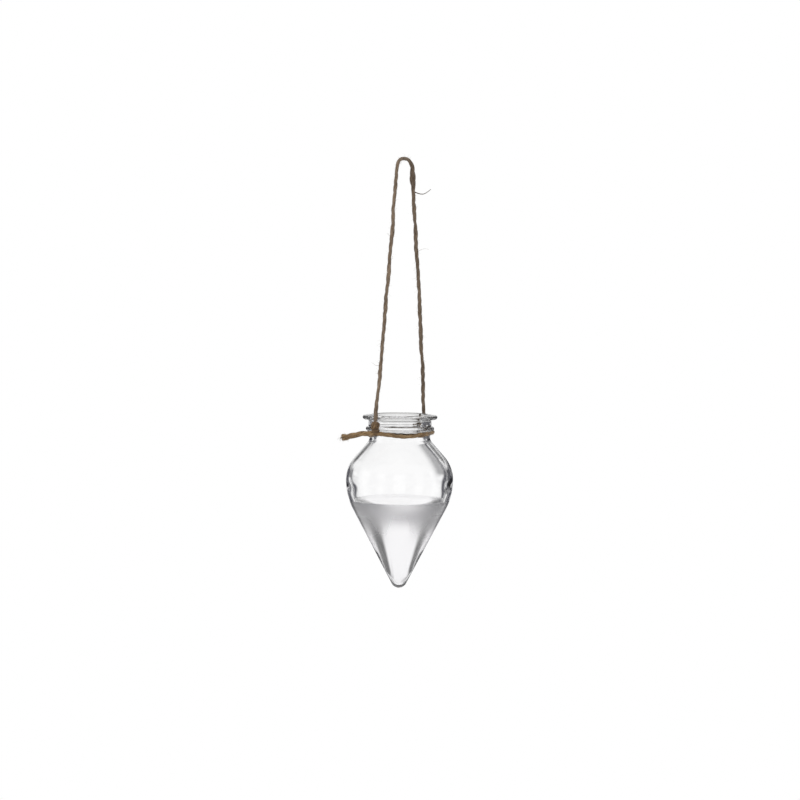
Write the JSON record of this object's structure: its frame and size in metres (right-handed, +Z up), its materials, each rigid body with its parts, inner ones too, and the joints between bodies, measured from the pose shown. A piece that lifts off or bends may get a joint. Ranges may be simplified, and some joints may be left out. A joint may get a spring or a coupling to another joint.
{
  "type": "hanging propagation vase",
  "caption": "Clear glass teardrop vase with a flanged lip, tied by its neck to a loop of jute twine, for hanging up a cutting in water.",
  "frame": {"origin": "the point inside the top of the twine loop where a hook bears", "axes": "+Z up along the axis of the glass, +X to the right and +Y away as seen in the picture"},
  "size_m": [0.081, 0.075, 0.3009],
  "materials": {
    "clear_glass": "gloss",
    "jute": "matte"
  },
  "bodies": {
    "hanger": {"hanging_loop": "jute"},
    "vase": {"glass_vessel": "clear_glass", "neck_band": "jute", "front_knot": "jute", "tail": "jute", "back_hitch": "jute", "trimmed_end": "jute"}
  },
  "joints": [
    {"name": "vase_tip", "type": "hinge", "parent": "hanger", "child": "vase", "pos_m": [0, 0, -0.1834], "axis": [0.6157, 0.788, 0], "range_deg": [-60, 60]}
  ]
}
